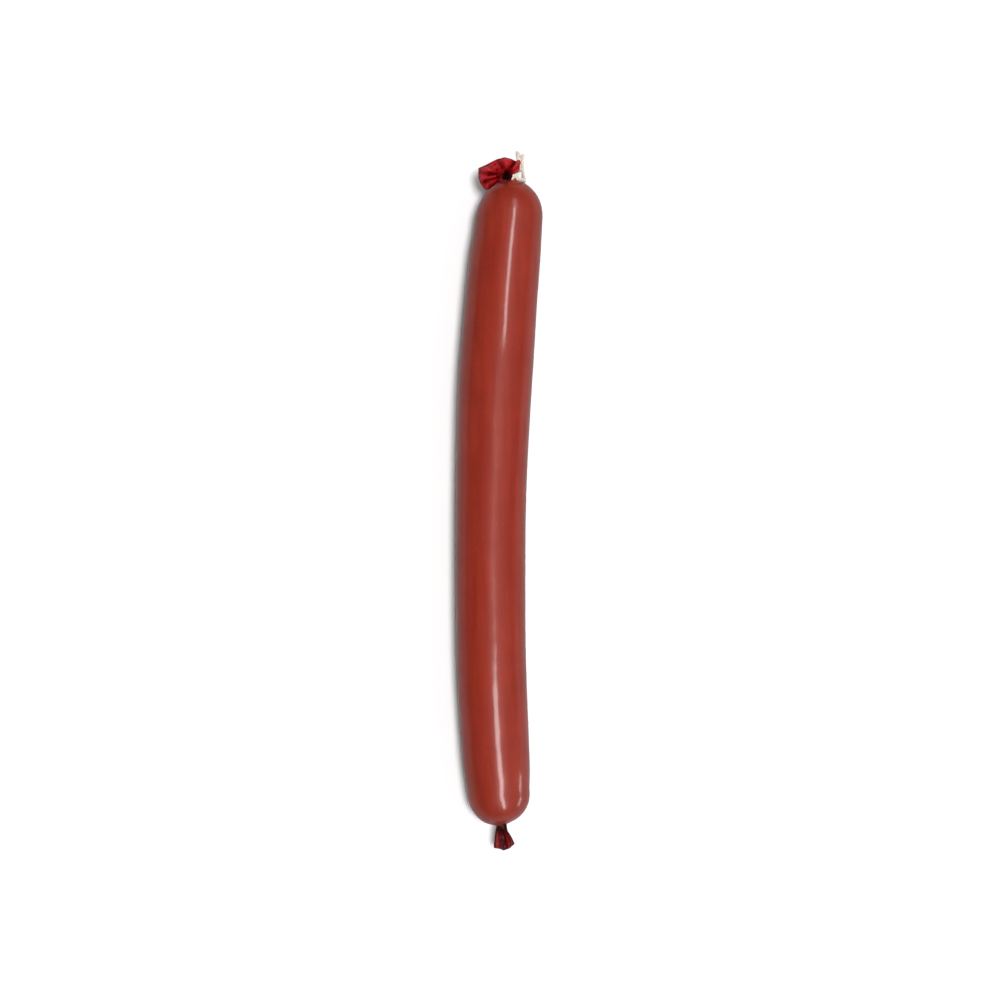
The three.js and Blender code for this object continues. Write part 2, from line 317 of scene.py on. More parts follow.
def press_flat(points):
    """Rounds the underside off onto the surface: z becomes half of z plus the length of (z, edge)."""
    edge = 0.35
    points[..., 2] = (points[..., 2] + np.sqrt(points[..., 2] ** 2 + edge**2)) / 2
    return points


def on_casing(y, out_x, out_z):
    """The point at station y whose distance from the centre is given as shares of the full radius."""
    radius = fullness(y)
    points = np.stack([through(BOW, y) + radius * out_x, y, axis_height(y) + radius * out_z], axis=-1)
    return press_flat(points)


COLUMNS = 180
turns = np.linspace(0, 2 * np.pi, COLUMNS, endpoint=False)[None, :]
UP = np.array([0.0, math.cos(UPPER_NECK_ELEVATION), math.sin(UPPER_NECK_ELEVATION)])
BACK = np.array([0.0, -math.sin(UPPER_NECK_ELEVATION), math.cos(UPPER_NECK_ELEVATION)])
RIGHT = np.array([1.0, 0.0, 0.0])


def on_upper_neck(x, along, back):
    """A point given by its place across, along and behind the upper neck, measured from the neck's base."""
    x, along, back = np.broadcast_arrays(x, along, back)
    return UPPER_NECK_BASE + x[..., None] * RIGHT + along[..., None] * UP + back[..., None] * BACK


def bridge(first, first_run, last, last_run, steps):
    """Rows between two rings, which leave the first along first_run and reach the last along last_run."""
    return cubic(np.linspace(0, 1, steps + 2)[1:-1, None, None], first, first_run, last, last_run)


def upper_dome(opening):
    """Rings of the upper dome: opening is each ring's angle from the pole, from a right angle down."""
    neck_tilt = math.asin((UPPER_NECK_BASE[2] - float(axis_height(UPPER_TIP))) / float(fullness(UPPER_TIP)))
    tilt = neck_tilt * (1 - opening / (math.pi / 2))[:, None]
    opening = opening[:, None]
    out_x = np.sin(opening) * np.cos(turns)
    out_y = np.cos(opening) * np.cos(tilt) - np.sin(opening) * np.sin(turns) * np.sin(tilt)
    out_z = np.cos(opening) * np.sin(tilt) + np.sin(opening) * np.sin(turns) * np.cos(tilt)
    return on_casing(UPPER_TIP - UPPER_DOME + UPPER_DOME * out_y, out_x, out_z)


def casing_rows():
    """All rings of the casing, from the end of the lower neck to the end of the upper one."""
    closing = np.radians(np.linspace(17, 90, 46))
    lower_y = (LOWER_TIP + LOWER_DOME * (1 - np.cos(closing)))[:, None]
    opened = np.sin(closing)[:, None]
    lower = on_casing(lower_y + 0 * turns, opened * np.cos(turns), opened * np.sin(turns))
    middle_y = np.linspace(LOWER_TIP + LOWER_DOME, UPPER_TIP - UPPER_DOME, 300)[1:-1, None]
    middle = on_casing(middle_y + 0 * turns, np.cos(turns) + 0 * middle_y, np.sin(turns) + 0 * middle_y)
    upper = upper_dome(np.radians(np.linspace(90, 15, 60)))

    neck_y = np.linspace(LOWER_NECK_END, LOWER_TIP - 0.7, 8)[:, None]
    lower_neck = np.stack([
        LOWER_NECK_X + LOWER_NECK_RADIUS * np.cos(turns) + 0 * neck_y,
        neck_y + 0 * turns,
        LOWER_NECK_HEIGHT + LOWER_NECK_RADIUS * np.sin(turns) + 0 * neck_y,
    ], axis=-1)
    lower_join = bridge(lower_neck[-1], np.array([0, 2.5, 0]), lower[0], 3 * (lower[1] - lower[0]), 8)

    neck_along = np.linspace(1.5, UPPER_NECK_LENGTH - 0.8, 12)[:, None]
    neck_radius = UPPER_NECK_RADIUS * (1 - 0.5 * ramp(4.2, 5.4, neck_along))
    upper_neck = on_upper_neck(neck_radius * np.cos(turns), neck_along, neck_radius * np.sin(turns))
    upper_join = bridge(upper[-1], 3.5 * (upper[-1] - upper[-2]), upper_neck[0], 2.5 * UP, 8)
    return np.concatenate([lower_neck, lower_join, lower, middle, upper, upper_join, upper_neck])


rows = casing_rows()
print("casing grid:", rows.shape)

# %% [markdown]
# ## The marks of filling and tying
#
# Filling leaves long, low swells. Each tie gathers 125 mm of casing into a neck 5 mm wide, so fine folds
# run out of each neck and die away on the dome. At the lower end one thicker fold is pinched up. All are
# moves across the surface, of less than a millimetre.

# %% Swells, gathers and the pinched fold
SURFACE_GAP = 0.02  # the skin keeps this far above the surface it lies on


def distance_to_neck(points):
    """Distance in mm from each point to the foot of the nearer neck."""
    lower_foot = np.array([LOWER_NECK_X, LOWER_TIP, LOWER_NECK_HEIGHT])
    to_lower = np.linalg.norm(points - lower_foot, axis=-1)
    to_upper = np.linalg.norm(points - UPPER_NECK_BASE, axis=-1)
    return np.minimum(to_lower, to_upper), to_lower < to_upper


def gathered(turn, folds, seed):
    """Uneven folds round a neck: a sharpened wave whose spacing is itself pushed about by slower waves."""
    random = np.random.default_rng(seed)
    shift = sum(random.uniform(0.1, 0.35) * np.sin(k * turn + random.uniform(0, 6)) for k in (1, 2, 3, 5))
    wave = np.sin(folds * turn + 2.2 * shift)
    return np.arcsin(0.94 * wave) / math.asin(0.94)


def marked(points):
    """Adds the swells, the gathers and the pinched fold to the casing."""
    outward = -normals_of(points)
    reach, is_lower = distance_to_neck(points)
    angle = turns + 0 * reach
    swell = 0.06 * waves(points * [1, 0.35, 1], 26, seed=3) + 0.010 * waves(points, 9, seed=4)
    swell *= ramp(4, 40, reach)
    folds = np.where(is_lower, 0.20 * gathered(angle, 9, 11), 0.34 * gathered(angle, 13, 12))
    folds = folds * np.exp(-((reach - 3.4).clip(0) / 2.6) ** 2)
    # The pinched fold runs up from the neck just left of the top; a crease lies along its right side.
    pinch_place = np.exp(-((angle - np.radians(100)) / np.radians(14 + 26 * np.exp(-reach / 3))) ** 2)
    pinch = 0.9 * is_lower * pinch_place * np.exp(-((reach - 3.0) / 5.5) ** 2)
    crease_place = np.exp(-((angle - np.radians(66)) / np.radians(8)) ** 2)
    crease = -0.8 * is_lower * crease_place * np.exp(-((reach - 3.4) / 3.4) ** 2)
    moved = points + outward * (swell + folds + pinch + crease)[..., None]
    moved[..., 2] = np.maximum(moved[..., 2], SURFACE_GAP)
    return moved, reach, folds + crease


rows, neck_reach, fold_depth = marked(rows)
shift = np.array([0, MIDDLE_SHIFT, 0])
ends = [rows[0].mean(axis=0), rows[-1].mean(axis=0)]
casing = skin("sausage_casing", rows + shift, ends[0] + shift, ends[1] + shift)
store(casing, "neck_reach", neck_reach)
store(casing, "fold_depth", fold_depth)
print("casing faces:", len(casing.data.polygons))

# %% [markdown]
# ## Collagen casing
#
# The real skin is edible collagen, extruded, smoked and dried on the meat. It is satin: a thin clear skin
# gives a narrow, sharp streak of light, and the uneven meat under it a broad, soft one. That is a coat over
# a rougher base. The red-brown comes from cured meat and smoke, and it wanders: broad patches, streaks
# along the length where the casing was drawn, and faint pale flecks of fat 1 to 2 mm wide just under the
# skin.

# %% Material of the filled casing
def collagen_casing():
    """Red-brown casing: patches, streaks, fat flecks and painted shade in the colour, a fine grain in the
    bump.
    """
    material, tree, place = new_material("collagen_casing")
    # Streaks are about 5 mm wide and 60 mm long.
    streak_space = add_node(tree, "ShaderNodeMapping", {"Vector": place, "Scale": (200, 16, 200)})
    streaks = mapped(tree, noise(tree, streak_space.outputs[0], 1.0, 3.0), 0.3, 0.7)
    patches = noise(tree, place, 55.0, 4.0)
    streaked = mixed(tree, streaks, "#8f2715", "#9e3321")
    patched = mixed(tree, product(tree, mapped(tree, patches, 0.35, 0.68), 0.45), streaked, "#882012")
    # Flecks are dots, kept only where a second noise is high, so that they come in loose groups.
    dots = add_node(tree, "ShaderNodeTexVoronoi", {"Vector": place, "Scale": 420.0, "Randomness": 1.0})
    dot_mask = mapped(tree, dots.outputs["Distance"], 0.34, 0.12)
    group_mask = mapped(tree, noise(tree, place, 300.0, 1.0), 0.52, 0.62)
    fleck_amount = product(tree, product(tree, dot_mask, group_mask), 0.06)
    flecked = mixed(tree, fleck_amount, patched, "#c98568")
    # Painted shade: the valleys of the gathered folds near the ties are painted darker.
    fold_valley_shade = mapped(tree, stored(tree, "fold_depth"), 0.05, -0.35, to_high=0.7)
    folded = mixed(tree, fold_valley_shade, flecked, "#3c0c08")
    # Painted shade: the skin drawn together round each neck is painted darker.
    neck_shade = mapped(tree, stored(tree, "neck_reach"), 5.0, 2.4, to_high=0.4)
    skin_colour = mixed(tree, neck_shade, folded, "#571410")

    # The casing's own grain: fine fibres about 0.5 mm apart, drawn along the length.
    grain_space = add_node(tree, "ShaderNodeMapping", {"Vector": place, "Scale": (1900, 350, 1900)})
    bump = add_node(tree, "ShaderNodeBump", {
        "Height": noise(tree, grain_space.outputs[0], 1.0, 3.0), "Strength": 0.35, "Distance": 0.00006})
    finished(tree, {
        "Base Color": skin_colour, "Roughness": mapped(tree, patches, 0.3, 0.7, 0.36, 0.46), "IOR": 1.45,
        "Specular IOR Level": 0.30, "Coat Weight": 0.5, "Coat Roughness": 0.13, "Coat IOR": 1.45,
        "Subsurface Weight": 0.06, "Subsurface Radius": (1.0, 0.25, 0.12), "Subsurface Scale": 0.0015,
        "Normal": bump.outputs[0]})
    return material


casing.data.materials.append(collagen_casing())
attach(casing, "root")
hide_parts("filled_casing")
print("casing dressed")

# %% [markdown]
# ## The ruffled end above the string
#
# Beyond the string the casing is empty. It leaves the tie as a tight bunch, springs open and dries into a
# stiff, crumpled frill. Cloth simulation could crumple it, but dried film keeps sharp folds that cloth
# loses. So we give the free edge as a closed curve, draw every line from the bunch to that edge as a cubic
# Bezier curve that arches up and falls over, and then fold the surface: many close pleats at the bunch,
# fewer and broader ridges towards the edge, and crisp creases on all of it.

# %% Shape of the frill
# The free edge of the film, going round it against the clock from its far left corner: x, y and height
# in mm, and how far the film stands up in a ridge (+) or sinks in a valley (-) on the way to that point.
# The last number also goes to the colour: ridges are painted lighter and valleys darker, as painted light
# and shade.
FRILL_EDGE = [
    (-11.1, 188.1, 28.0, 0.9), (-11.2, 185.4, 27.5, -0.7), (-11.0, 182.4, 27.0, 0.9),
    (-10.1, 179.9, 27.0, -0.8),
    (-8.5, 177.3, 27.5, 0.8), (-6.9, 175.6, 28.5, -0.5), (-5.2, 175.9, 31.0, -1.0),
    (-2.9, 177.1, 34.0, 0.5),
    (-0.4, 178.5, 35.8, -0.5), (2.1, 179.1, 36.4, 0.4), (4.6, 179.5, 36.6, -0.5), (7.0, 180.0, 36.2, 0.3),
    (7.7, 181.0, 36.0, -0.3), (8.0, 183.0, 35.4, 0.3), (8.7, 184.5, 34.2, 0.4), (10.6, 184.9, 33.4, -0.4),
    (12.2, 186.3, 33.2, 0.7), (12.5, 188.7, 34.2, 0.2), (12.9, 190.9, 35.0, 1.2), (11.9, 192.1, 35.0, 0.9),
    (10.1, 191.8, 33.0, -1.4), (7.6, 193.0, 31.0, 0.5), (3.8, 194.1, 30.2, 1.1), (-0.4, 193.0, 31.0, -0.3),
    (-2.5, 191.9, 31.0, 0.7), (-6.5, 190.0, 30.0, 0.2),
]
FRILL_ROOT = 6.0  # where the film leaves the neck, measured up it from its base, just past the hitch
HOLLOW = np.array([4.9, 182.5, 35.3])  # middle of the bunched film's mouth
FRILL_ROWS, FRILL_COLUMNS = 72, 640
BUNCH_PLEATS = 34


def polygon_through(points, count, softness):
    """Straight runs between points, cut in equal steps and averaged over softness mm to round corners."""
    closed = np.vstack([points, points[:1]])
    along = np.concatenate([[0], np.cumsum(np.linalg.norm(np.diff(closed[:, :3], axis=0), axis=1))])
    want = np.linspace(0, along[-1], count, endpoint=False)
    made = np.stack([np.interp(want, along, closed[:, i]) for i in range(closed.shape[1])], axis=1)
    half = max(int(softness / (along[-1] / count)), 1)
    weights = np.hanning(2 * half + 3)[1:-1]
    weights = weights / weights.sum()
    padded = np.concatenate([made[-half:], made, made[:half]])
    return np.stack([np.convolve(values, weights, "valid") for values in padded.T], axis=1)


def frill_surface():
    """Bezier lines that rise from the tie, lean back over the sausage, and fall outwards to the edge."""
    edge = polygon_through(np.array(FRILL_EDGE), FRILL_COLUMNS, 0.4)
    fold, edge = edge[:, 3], edge[:, :3]
    outward = (edge - HOLLOW) * [1, 1, 0]
    reach = np.linalg.norm(outward, axis=1, keepdims=True)
    outward = outward / reach
    start = on_upper_neck(1.5 * outward[:, 0], FRILL_ROOT, -1.5 * outward[:, 1])
    leave = HOLLOW + 2.3 * outward + [0, 0, 3.0]
    arrive = HOLLOW + (edge - HOLLOW) * 0.58 + np.array([0, 0, 0.26]) * reach
    t = np.linspace(0, 1, FRILL_ROWS)[:, None, None] ** 0.85
    surface = (1 - t) ** 3 * start + 3 * (1 - t) ** 2 * t * leave
    surface = surface + 3 * (1 - t) * t**2 * arrive + t**3 * edge
    return surface, fold[None, :], t[..., 0]


def crumple(points, size, seed):
    """Crisp random creases: slow waves folded at zero, so that each zero line becomes a sharp valley."""
    large = np.abs(waves(points, size, seed, count=14))
    small = np.abs(waves(points, size / 2, seed + 1, count=14))
    return large + 0.45 * small - 1.1


def folded_frill():
    """Adds pleats along the normal, deep at the bunch and shallow beyond it; ridges and creases go up."""
    surface, fold, t = frill_surface()
    place = np.linspace(0, 2 * np.pi, FRILL_COLUMNS, endpoint=False)[None, :]
    normal = normals_of(surface)
    bunch = 0.98 * gathered(place + 0 * t, BUNCH_PLEATS, 21) * np.exp(-((t - 0.18) / 0.23) ** 2)
    middle = 0.22 * gathered(place + 0 * t, BUNCH_PLEATS, 25) * ramp(0.25, 0.45, t)
    middle = middle * (1 - ramp(0.6, 0.95, t))
    ridges = 1.8 * fold * ramp(0.15, 0.7, t) * (1 - 0.5 * ramp(0.75, 1.0, t))
    fine = gathered(place - 0.25 * t, 15, 23) * 0.14 * ramp(0.15, 0.45, t)
    creases = 0.95 * crumple(surface, 10.0, 24) * ramp(0.15, 0.45, t) * (1 - 0.5 * ramp(0.85, 1.0, t))
    height = ridges + fine + creases
    folded = surface + normal * (bunch + middle)[..., None] + np.array([0, 0, 1.0]) * height[..., None]
    return folded, height, t


frill_rows, frill_height, frill_t = folded_frill()
print("frill grid:", frill_rows.shape, "highest point:", round(float(frill_rows[..., 2].max()), 1), "mm")

# %% [markdown]
# ## From a surface to a film
#
# The film is about a tenth of a millimetre thick. The Solidify modifier gives it that wall, with its edge
# closed, and leaves the grid clean. Two numbers per point go to the material: how bunched the film is,
# which also marks a patch of painted shade in the frill's hollow, and how high it lies on a ridge or low in
# a valley, which the material paints as light and shade.

# %% Build the frill
FILM_THICKNESS = 0.12


def film(name, grid, pole, bunched, height):
    """A thin closed film on a grid that wraps round, with one pole at its bunched end."""
    piece = skin(name, grid + shift, start=pole + shift, closed=False)
    store(piece, "bunched", bunched)
    store(piece, "ridge", height)
    wall = piece.modifiers.new("wall", "SOLIDIFY")
    wall.thickness = FILM_THICKNESS * MM
    wall.offset = 0.0
    return piece


frill_pole = frill_rows[0].mean(axis=0)
# Bunched is high at the tie, where the film lies in many layers, and in a patch round the hollow of the
# frill's mouth, which is painted shade.
from_hollow = np.linalg.norm((frill_rows[..., :2] - HOLLOW[:2]) / [3.3, 2.9], axis=-1)
frill_bunch_and_hollow_shade = np.maximum(np.exp(-(frill_t / 0.2) ** 2), 1 - ramp(0.55, 1.45, from_hollow))
frill = film("casing_frill", frill_rows, frill_pole, frill_bunch_and_hollow_shade, frill_height)
print("frill faces:", len(frill.data.polygons))

# %% [markdown]
# ## The tuft below the lower tie
#
# The lower end is empty casing too, but it was never opened: it hangs together like a closed umbrella, flat
# pleats lying on each other, cut off a little askew. Its section is a star. Deep, uneven pleats are pushed
# along the direction across the tuft, and they widen towards the cut.

# %% Shape of the tuft
# Its section at the cut, going round it: x and height from the neck's middle, and the film's length there,
# in mm. The upper side has two broad facets, a deep valley and one sharp ridge; the rest is close pleats.
TUFT_OVER = [
    (-4.4, -0.9, 10.6), (-4.2, 0.6, 10.8), (-3.0, 1.5, 11.0), (-2.0, 1.2, 11.1), (-0.4, 0.3, 11.6),
    (1.2, -0.4, 12.4), (2.8, -0.2, 11.9), (4.3, 0.9, 11.2), (5.0, 1.9, 10.7), (5.5, 1.2, 10.4),
    (5.8, 0.3, 10.0), (6.6, 0.7, 9.4), (7.6, 0.1, 8.3),
]
TUFT_UNDER_PLEATS = 15
TUFT_ROWS, TUFT_COLUMNS = 56, 900


def tuft_section():
    """The upper side's points, then close pleats back along the under side, from right to left."""
    step = np.arange(2 * TUFT_UNDER_PLEATS + 1) / (2 * TUFT_UNDER_PLEATS)
    random = np.random.default_rng(37)
    inner = np.arange(len(step)) % 2 == 0
    x = 7.0 - 10.8 * step + random.uniform(-0.10, 0.10, len(step))
    belly = 2.2 * np.sin(math.pi * (0.06 + 0.88 * step))
    outer_height = -1.5 - belly + random.uniform(-0.25, 0.25, len(step))
    height = np.where(inner, outer_height + 2.5 + random.uniform(-0.3, 0.1, len(step)), outer_height)
    length = 9.0 + 2.6 * np.sin(math.pi * np.clip(1.1 * step, 0, 1)) + random.uniform(-0.2, 0.2, len(step))
    return np.vstack([np.array(TUFT_OVER), np.stack([x, height, length], axis=1)])


def tuft_surface():
    """Straight lines from a pleated ring at the neck to the section at the cut, with a slight belly."""
    cut = polygon_through(tuft_section(), TUFT_COLUMNS, 0.16)
    place = np.linspace(0, 2 * np.pi, TUFT_COLUMNS, endpoint=False)
    leaving = np.pi - place  # evenly round the neck, so that every pleat keeps its share of it
    wide = np.ones(101) / 101
    around = np.concatenate([cut[-50:], cut, cut[:50]])
    smooth_cut = np.stack([np.convolve(around[:, i], wide, "valid") for i in range(2)], axis=1)
    pleat = cut[:, :2] - smooth_cut
    # On the right the film folds back over the thread, so its root is wider and nearer the dome there.
    flap = ramp(0.2, 0.9, np.cos(leaving - 0.5))[:, None]
    ring = (1.95 + 1.0 * flap) * np.stack([np.cos(leaving), np.sin(leaving)], axis=1) + 0.68 * pleat
    root_y = LOWER_NECK_END + 0.7 + 2.2 * flap[:, 0]
    t = np.linspace(0, 1, TUFT_ROWS)[:, None]
    open_up = np.clip(t, 1e-6, 1) ** 0.5
    x = ring[:, 0] * (1 - open_up) + cut[:, 0] * open_up
    height = ring[:, 1] * (1 - open_up) + cut[:, 1] * open_up
    height = height + 0.4 * np.sin(math.pi * t) * np.sign(cut[:, 1] + 1)
    surface = np.stack([
        LOWER_NECK_X + x, root_y - (cut[:, 2] + root_y - LOWER_NECK_END + 0.3) * t,
        LOWER_NECK_HEIGHT - 0.8 * t**2 + height,
    ], axis=-1)
    creases = 0.16 * crumple(surface, 4.0, 33) * ramp(0.1, 0.5, t)
    return surface + np.array([0, 0, 1.0]) * creases[..., None], pleat[None, :, 1] * open_up, t


tuft_rows, tuft_height, tuft_t = tuft_surface()
# The pleat heights also go to the colour: ridges are painted lighter and valleys darker, as painted light
# and shade.
tuft_bunched = np.exp(-(tuft_t / 0.25) ** 2) + 0 * tuft_height
tuft = film("casing_tuft", tuft_rows, tuft_rows[0].mean(axis=0), tuft_bunched, tuft_height)
print("tuft faces:", len(tuft.data.polygons))

# %% [markdown]
# ## Dry casing film
#
# Empty casing dries stiff, glossy and a little see-through. One layer glows red where light passes it; the
# bunch at the tie is many layers thick and almost black. So the colour follows how bunched the film is, and
# the same dark colour is painted as shade in the hollow of the frill's mouth. Ridges are painted paler and
# valleys darker, as painted light and shade of the folds, over random blotches.

# %% Material of the two casing ends
def dry_casing_film(name, valley, face, ridge, bunch, gloss):
    """Red film from painted valley shade to face to painted ridge light, and to the bunch colour at the
    tie.
    """
    material, tree, place = new_material(name)
    blotches = noise(tree, place, 520.0, 4.0)
    # Random blotches plus each point's fold height: ridges come out paler and valleys darker, as painted
    # light and shade.
    uneven = add_node(tree, "ShaderNodeMath", {
        0: blotches, 1: 2.2, 2: stored(tree, "ridge")}, operation="MULTIPLY_ADD").outputs[0]
    low = mixed(tree, mapped(tree, uneven, 0.0, 1.3), valley, face)
    high = mixed(tree, mapped(tree, uneven, 1.3, 2.8), low, ridge)
    # The bunch colour is many layers of film, and at the frill's hollow also painted shade.
    bunched = stored(tree, "bunched")
    bump = add_node(tree, "ShaderNodeBump", {
        "Height": noise(tree, place, 900.0, 5.0), "Strength": 0.6, "Distance": 0.00025})
    finished(tree, {
        "Base Color": mixed(tree, bunched, high, bunch), "IOR": 1.45, "Coat Roughness": 0.12,
        "Roughness": mapped(tree, bunched, 0, 1, 0.38, 0.70),
        "Coat Weight": mapped(tree, bunched, 0, 1, gloss, 0.0),
        "Subsurface Weight": 0.15, "Subsurface Radius": (1.0, 0.12, 0.08), "Subsurface Scale": 0.0008,
        "Specular IOR Level": 0.12, "Normal": bump.outputs[0]})
    return material


# Colours in order: valley (painted shade), face, ridge (painted light), bunch, then gloss.
frill.data.materials.append(dry_casing_film(
    "dry_casing_film", "#5a0104", "#960a10", "#b8242b", "#1c0001", 0.15))
tuft.data.materials.append(dry_casing_film(
    "dry_casing_film_dark", "#300003", "#5c0709", "#86211f", "#1c0304", 0.06))
for piece, node in ((frill, "upper_casing_frill"), (tuft, "lower_casing_tuft")):
    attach(piece, "root")
    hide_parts(node)
print("film dressed")

# %% [markdown]
# ## The string's route
#
# One strand of cotton twine makes the whole tie: a clove hitch. It passes under the crossing, goes once
# round the neck, crosses over both of its own ends, goes round again on the other side, and comes out under
# the crossing beside where it went in. Both cut ends are limp, so they drop over the dome and lie on the
# surface.
#
# Following the strand, rather than sculpting a lump, gives the true overlaps from every side. The turns are
# worked out by angle, distance from the neck's axis and place along it. The loose ends follow the
# construction model's, but for the first points of the one that goes over the shoulder.

# %% The clove hitch and its two ends
STRING_ON_SURFACE = STRING_DIAMETER / 2 + 0.12
OVER_END = np.array([
    (13.8, 182.0, 26.2), (14.9, 181.5, 23.0), (15.2, 181.6, 19.2), (15.3, 182.5, 14.4), (15.2, 183.8, 9.6),
    (15.0, 185.4, 5.2), (14.7, 187.8, 2.0), (14.4, 190.8, STRING_ON_SURFACE),
    (14.2, 194.0, STRING_ON_SURFACE),
    (13.9, 197.6, STRING_ON_SURFACE),
])
UNDER_END = np.array([
    (12.3, 188.6, 23.6), (12.7, 188.9, 19.0), (12.7, 188.9, 14.0), (12.5, 189.1, 9.0), (12.2, 190.0, 4.7),
    (11.9, 192.0, 1.9), (11.8, 194.4, STRING_ON_SURFACE), (11.6, 196.8, STRING_ON_SURFACE),
    (11.4, 199.2, STRING_ON_SURFACE),
])


def hitch_points():
    """The strand round the neck, from rows of turned angle in degrees, and place and lift in diameters."""
    keys = np.array([
        (-12, -0.50, 0.0), (40, -0.58, 0.0), (120, -0.75, 0.0), (220, -0.95, 0.0), (300, -1.08, 0.0),
        (330, -1.00, 0.35), (350, -0.45, 0.95), (370, 0.45, 0.95), (390, 1.00, 0.35),
        (420, 1.08, 0.0), (520, 0.95, 0.0), (620, 0.75, 0.0), (690, 0.56, 0.0), (732, 0.50, 0.0),
    ])
    swept = np.linspace(keys[0, 0], keys[-1, 0], 90)
    place = HITCH_ALONG + STRING_DIAMETER * through(keys[:, [0, 1]], swept)
    lift = STRING_DIAMETER * through(keys[:, [0, 2]], swept).clip(0)
    radius = UPPER_NECK_RADIUS + STRING_DIAMETER / 2 - 0.1 + lift
    angle = -np.radians(swept)
    return on_upper_neck(radius * np.cos(angle), place, radius * np.sin(angle))


def rounded_path(points, step):
    """A smooth even path near its points: each is averaged with its neighbours, as in a cubic B-spline."""
    padded = np.vstack([2 * points[0] - points[1], points, 2 * points[-1] - points[-2]])
    fine = np.linspace(0, len(points) - 1, 60 * len(points))
    k = np.minimum(fine.astype(int), len(points) - 2)
    t = (fine - k)[:, None]
    p = [padded[np.minimum(k + i, len(padded) - 1)] for i in range(4)]
    curve = (
        (1 - t) ** 3 * p[0] + (3 * t**3 - 6 * t**2 + 4) * p[1]
        + (-3 * t**3 + 3 * t**2 + 3 * t + 1) * p[2] + t**3 * p[3]
    ) / 6
    along = np.concatenate([[0], np.cumsum(np.linalg.norm(np.diff(curve, axis=0), axis=1))])
    want = np.linspace(0, along[-1], int(along[-1] / step))
    return np.stack([np.interp(want, along, curve[:, i]) for i in range(3)], axis=1)


def string_route():
    """Tip of one end, up to the hitch, through it, and down to the tip of the other end."""
    over_exit = on_upper_neck(np.array([5.6, 7.4]), np.array([1.6, 0.5]), np.array([1.9, 2.2]))
    under_exit = on_upper_neck(np.array([5.0, 6.3]), np.array([3.8, 3.6]), np.array([-1.2, -2.3]))
    return np.vstack([OVER_END[::-1], over_exit[::-1], hitch_points(), under_exit, UNDER_END])


STRING_STEP = 0.15
route = rounded_path(string_route(), STRING_STEP) + shift

# %% [markdown]
# ## Twisted cotton
#
# Butcher's twine is three plies laid round each other. Three tubes would be true to life, but at 1.7 mm
# across one tube with a three-lobed section that turns as it goes along shows the same valleys with a third
# of the faces. Each ply is itself a bundle of fine yarns, which are smaller lobes turning the other way.

# %% A tube whose section turns along a path
def frames_along(path):
    """Two directions across a path at each point, carried along it with the least twist."""
    tangent = np.gradient(path, axis=0)
    tangent /= np.linalg.norm(tangent, axis=1, keepdims=True)
    side = np.cross(tangent[0], [0.0, 0.0, 1.0])
    if np.linalg.norm(side) < 1e-3:
        side = np.cross(tangent[0], [1.0, 0.0, 0.0])
    sides = []
    # Each direction depends on the one before it, so this walks along the few hundred path points.
    for direction in tangent:
        side = side - direction * (side @ direction)
        side = side / np.linalg.norm(side)
        sides.append(side)
    sides = np.array(sides)
    return sides, np.cross(tangent, sides)


def twisted_strand(name, path, diameter, pitch, sides=36, plies=3):
    """Radius = half the diameter, less a groove between plies; the section turns once every pitch mm."""
    step = float(np.linalg.norm(path[1] - path[0]))
    side, rise = frames_along(path)
    distance = (np.arange(len(path)) * step)[:, None]
    angle = np.linspace(0, 2 * np.pi, sides, endpoint=False)[None, :]
    lay = angle * plies / 2 - distance * np.pi * plies / pitch
    yarn = angle * 12 + distance * 2 * np.pi / (0.55 * pitch)
    radius = diameter / 2 * (0.80 + 0.22 * np.abs(np.cos(lay)) ** 0.7 + 0.02 * np.cos(yarn))
    radius = radius + 0 * distance
    grid = path[:, None] + radius[..., None] * (
        np.cos(angle)[..., None] * side[:, None] + np.sin(angle)[..., None] * rise[:, None])
    strand = skin(name, grid, path[0], path[-1])
    store(strand, "groove", np.abs(np.cos(lay)) + 0 * distance)
    return strand


TWINE_PITCH = 6.0
string = twisted_strand("tie_string", route, STRING_DIAMETER, TWINE_PITCH)
print("string faces:", len(string.data.polygons))

# %% [markdown]
# ## Loose fibres
#
# Cut twine frays: the plies open and their fibres spread like a brush. Fuzz stands out all along the strand
# as well. Each fibre is a thin bent cone; they are worked out together, as one array of rings.

# %% Frayed tips and fuzz
def fibres(name, roots, directions, lengths, radius, droop, seed):
    """Tapered hairs: each curves from its direction by droop mm down and by a random bend to the side."""
    random = np.random.default_rng(seed)
    count = len(roots)
    directions = directions / np.linalg.norm(directions, axis=1, keepdims=True)
    bend = random.normal(size=(count, 3)) * 0.22 * lengths[:, None]
    t = np.linspace(0, 1, 7)[None, :, None]
    spine = roots[:, None] + directions[:, None] * lengths[:, None, None] * t + bend[:, None] * t**2
    spine[..., 2] = np.maximum(spine[..., 2] - droop * (t**2)[..., 0], 0.08)
    side = np.cross(directions, [0.3, 0.5, 0.81])
    side /= np.linalg.norm(side, axis=1, keepdims=True)
    rise = np.cross(directions, side)
    angle = np.linspace(0, 2 * np.pi, 5, endpoint=False)
    around = np.cos(angle)[None, :, None] * side[:, None] + np.sin(angle)[None, :, None] * rise[:, None]
    taper = radius * (1 - 0.75 * t[..., None])
    rings = spine[:, :, None] + around[:, None] * taper
    rings_per, around_per = rings.shape[1:3]
    index = np.arange(count * rings_per * around_per).reshape(count, rings_per, around_per)
    beside = np.roll(index, -1, axis=2)
    quads = np.stack([index[:, :-1], beside[:, :-1], beside[:, 1:], index[:, 1:]], axis=-1).reshape(-1, 4)
    caps = np.concatenate([index[:, 0, ::-1], index[:, -1]])
    mesh = bpy.data.meshes.new(name)
    mesh.from_pydata((rings.reshape(-1, 3) * MM).tolist(), [], quads.tolist() + caps.tolist())
    mesh.shade_smooth()
    return in_scene(name, mesh)


